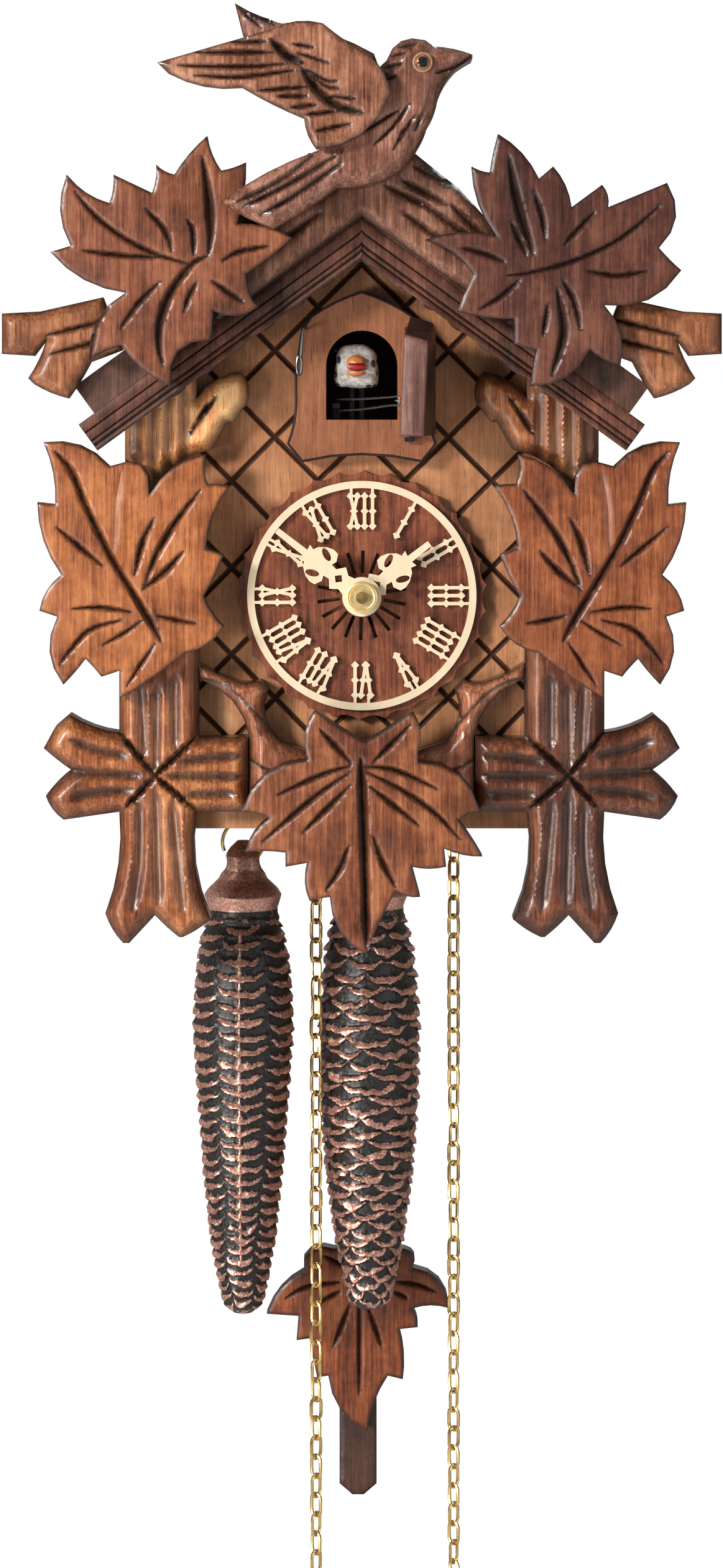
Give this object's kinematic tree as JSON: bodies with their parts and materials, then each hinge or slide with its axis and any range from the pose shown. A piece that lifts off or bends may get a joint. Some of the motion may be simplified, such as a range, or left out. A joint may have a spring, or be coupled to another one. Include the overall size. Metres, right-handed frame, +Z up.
{
  "type": "cuckoo clock",
  "caption": "Carved wooden cuckoo clock with leaves and a bird, a cuckoo door, round dial, leaf pendulum, two cone weights on chains.",
  "frame": {"origin": "axis of the hanging hole at the clock's back face, on the wall", "axes": "+X to the viewer's right, +Y into the wall, +Z up"},
  "size_m": [0.178, 0.125, 0.514],
  "materials": {
    "facade_wood": "satin",
    "dark_wood": "satin",
    "carved_wood": "satin",
    "leaf_wood": "satin",
    "dial_wood": "satin",
    "case_wood": "matt",
    "cream_plastic": "matt",
    "glass_eye": "polished",
    "brass": "polished",
    "steel": "satin",
    "black_steel": "blackened",
    "bird_plastic": "matt",
    "beak_plastic": "matt",
    "cast_weight": "copper paint over black",
    "pipe_wood": "bare",
    "chain_bundle": "polished",
    "tie": "plain"
  },
  "bodies": {
    "case": {"front_board": "facade_wood", "side_panels": "case_wood", "bottom_board": "case_wood", "back_board": "case_wood", "back_cover": "case_wood", "roof_boards": "dark_wood", "gable_trim": "dark_wood", "crown_logs": "dark_wood", "top_leaf_left": "carved_wood", "top_leaf_right": "carved_wood", "eave_twigs": "carved_wood", "upper_branches": "carved_wood", "side_branches": "carved_wood", "lower_branch": "carved_wood", "side_leaf_left": "leaf_wood", "side_leaf_right": "leaf_wood", "bottom_leaf": "leaf_wood", "carved_bird": "carved_wood", "bird_wings": "carved_wood", "bird_eye": "glass_eye", "dial_plate": "dial_wood", "chapter_ring": "cream_plastic", "cuckoo_frame": "carved_wood", "door_hinge_pins": "steel", "front_plate": "brass", "back_plate": "brass", "plate_pillars": "brass", "gong": "black_steel", "whistles": "pipe_wood", "chain_wraps": "chain_bundle"},
    "minute_hand_body": {"minute_hand": "cream_plastic", "hand_nut": "brass", "center_wheel": "brass"},
    "hour_hand_body": {"hour_hand": "cream_plastic", "hour_wheel": "brass"},
    "escape_wheel_body": {"escape_wheel": "brass"},
    "door": {"cuckoo_door": "dark_wood"},
    "carriage": {"bird_arm": "black_steel"},
    "cuckoo": {"cuckoo_body": "bird_plastic"},
    "beak": {"cuckoo_beak": "beak_plastic"},
    "wire": {"door_wire": "steel"},
    "latch": {"latch_wire": "steel"},
    "pendulum": {"pendulum_rod": "dark_wood", "pendulum_leaf": "carved_wood"},
    "anchor_body": {"anchor": "steel"},
    "time_wheel": {"time_sprocket": "brass"},
    "strike_wheel": {"strike_sprocket": "brass"},
    "left_weight": {"weight_left": "cast_weight", "weight_chain_left": "brass"},
    "right_weight": {"weight_right": "cast_weight", "weight_chain_right": "brass"},
    "left_free_chain": {"chain_left": "chain_bundle", "hank_left": "chain_bundle", "chain_end_left": "tie"},
    "right_free_chain": {"chain_right": "chain_bundle", "hank_right": "chain_bundle", "chain_end_right": "tie"},
    "hammer": {"gong_hammer": "steel"},
    "left_bellows": {"bellows_lid_left": "pipe_wood"},
    "right_bellows": {"bellows_lid_right": "pipe_wood"}
  },
  "joints": [
    {"name": "minute_hand_turn", "type": "hinge", "parent": "case", "child": "minute_hand_body", "pos_m": [0, -0.088, -0.0718], "axis": [0, 1, 0], "continuous": true},
    {"name": "hour_hand_turn", "type": "hinge", "parent": "case", "child": "hour_hand_body", "pos_m": [0, -0.088, -0.0718], "axis": [0, 1, 0], "continuous": true},
    {"name": "escape_wheel_turn", "type": "hinge", "parent": "case", "child": "escape_wheel_body", "pos_m": [-0.001, -0.032, -0.066], "axis": [0, 1, 0], "continuous": true},
    {"name": "door_swing", "type": "hinge", "parent": "case", "child": "door", "pos_m": [0.012, -0.0873, -0.0187], "axis": [0, 0, 1], "range_deg": [-82, 0]},
    {"name": "bird_travel", "type": "slide", "parent": "case", "child": "carriage", "axis": [0, 1, 0], "range_m": [0, 0.013]},
    {"name": "cuckoo_bow", "type": "hinge", "parent": "carriage", "child": "cuckoo", "pos_m": [0, -0.0706, -0.0185], "axis": [1, 0, 0], "range_deg": [0, 12]},
    {"name": "beak_open", "type": "hinge", "parent": "cuckoo", "child": "beak", "pos_m": [0, -0.0848, -0.0142], "axis": [1, 0, 0], "range_deg": [0, 8]},
    {"name": "door_wire_turn", "type": "hinge", "parent": "carriage", "child": "wire", "pos_m": [-0.0065, -0.082, -0.0214], "axis": [0, 0, 1], "range_deg": [-15, 0.1]},
    {"name": "latch_turn", "type": "hinge", "parent": "case", "child": "latch", "pos_m": [-0.015, -0.09, -0.0044], "axis": [0, 1, 0], "range_deg": [-95, 20]},
    {"name": "pendulum_swing", "type": "hinge", "parent": "case", "child": "pendulum", "pos_m": [-0.001, -0.014, -0.05], "axis": [0, 1, 0], "range_deg": [-5, 5]},
    {"name": "anchor_rock", "type": "hinge", "parent": "case", "child": "anchor_body", "pos_m": [-0.001, -0.025, -0.05], "axis": [0, 1, 0], "range_deg": [-5.1, 5.1]},
    {"name": "weight_left_drop", "type": "slide", "parent": "case", "child": "left_weight", "axis": [0, 0, 1], "range_m": [-0.025, 0], "deforming": ["chain_wraps"]},
    {"name": "weight_right_drop", "type": "slide", "parent": "case", "child": "right_weight", "axis": [0, 0, 1], "range_m": [-0.025, 0]},
    {"name": "chain_left_rise", "type": "slide", "parent": "case", "child": "left_free_chain", "axis": [0, 0, 1], "range_m": [0, 0.0252]},
    {"name": "chain_right_rise", "type": "slide", "parent": "case", "child": "right_free_chain", "axis": [0, 0, 1], "range_m": [0, 0.0252]},
    {"name": "time_wheel_turn", "type": "hinge", "parent": "case", "child": "time_wheel", "pos_m": [-0.0215, -0.0475, -0.098], "axis": [0, 1, 0], "range_deg": [-151, 0.1]},
    {"name": "strike_wheel_turn", "type": "hinge", "parent": "case", "child": "strike_wheel", "pos_m": [0.0131, -0.0385, -0.098], "axis": [0, 1, 0], "range_deg": [-129.5, 0.1]},
    {"name": "hammer_lift", "type": "hinge", "parent": "case", "child": "hammer", "pos_m": [0.03, -0.03, -0.046], "axis": [0, 1, 0], "range_deg": [-10, 0]},
    {"name": "bellows_left_lift", "type": "hinge", "parent": "case", "child": "left_bellows", "pos_m": [-0.055, -0.056, -0.0475], "axis": [0, 1, 0], "range_deg": [-12, 0]},
    {"name": "bellows_right_lift", "type": "hinge", "parent": "case", "child": "right_bellows", "pos_m": [0.055, -0.056, -0.0475], "axis": [0, 1, 0], "range_deg": [0, 12]}
  ],
  "couplings": [
    {"joint": "hour_hand_turn", "follows": "minute_hand_turn", "ratio": 0.083333},
    {"joint": "escape_wheel_turn", "follows": "minute_hand_turn", "ratio": 12},
    {"joint": "bird_travel", "follows": "door_swing", "m_per_rad": -0.0090441},
    {"joint": "door_wire_turn", "follows": "door_swing", "ratio": 0.18114},
    {"joint": "beak_open", "follows": "cuckoo_bow", "ratio": 0.66667},
    {"joint": "anchor_rock", "follows": "pendulum_swing", "ratio": 1},
    {"joint": "chain_left_rise", "follows": "weight_left_drop", "ratio": -1},
    {"joint": "chain_right_rise", "follows": "weight_right_drop", "ratio": -1},
    {"joint": "time_wheel_turn", "follows": "weight_left_drop", "rad_per_m": 104.72},
    {"joint": "strike_wheel_turn", "follows": "weight_right_drop", "rad_per_m": 89.76}
  ]
}
